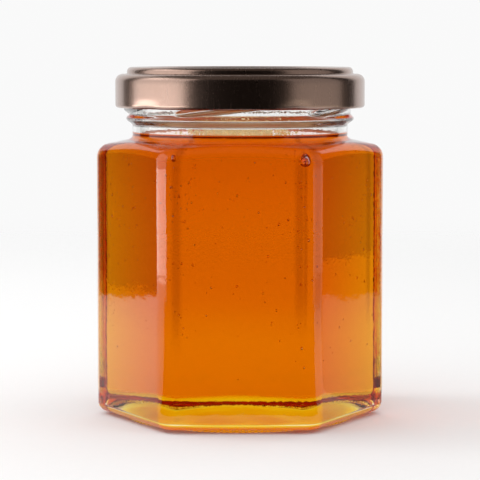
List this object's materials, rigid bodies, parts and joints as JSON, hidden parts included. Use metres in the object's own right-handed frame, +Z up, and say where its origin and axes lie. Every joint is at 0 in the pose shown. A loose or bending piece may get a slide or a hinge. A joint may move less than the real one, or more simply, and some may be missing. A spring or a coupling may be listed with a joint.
{
  "type": "honey jar",
  "caption": "Six-sided clear glass jar filled with amber honey into its round neck, closed with a bronze pressed-metal twist-off lid.",
  "frame": {"origin": "centre of the base, on the plane that the foot ring stands on", "axes": "+Z up along the jar's axis; a flat side of the body faces -Y and two upright corners point along +X and -X"},
  "size_m": [0.0762, 0.0676, 0.0929],
  "materials": {
    "glass": "clear, smooth, very slightly wavy",
    "honey": "clear amber liquid with small air bubbles",
    "lid": "satin dark bronze lacquer on tinplate"
  },
  "bodies": {
    "root": {"jar": "glass", "honey": "honey", "lid": "lid"}
  },
  "joints": []
}
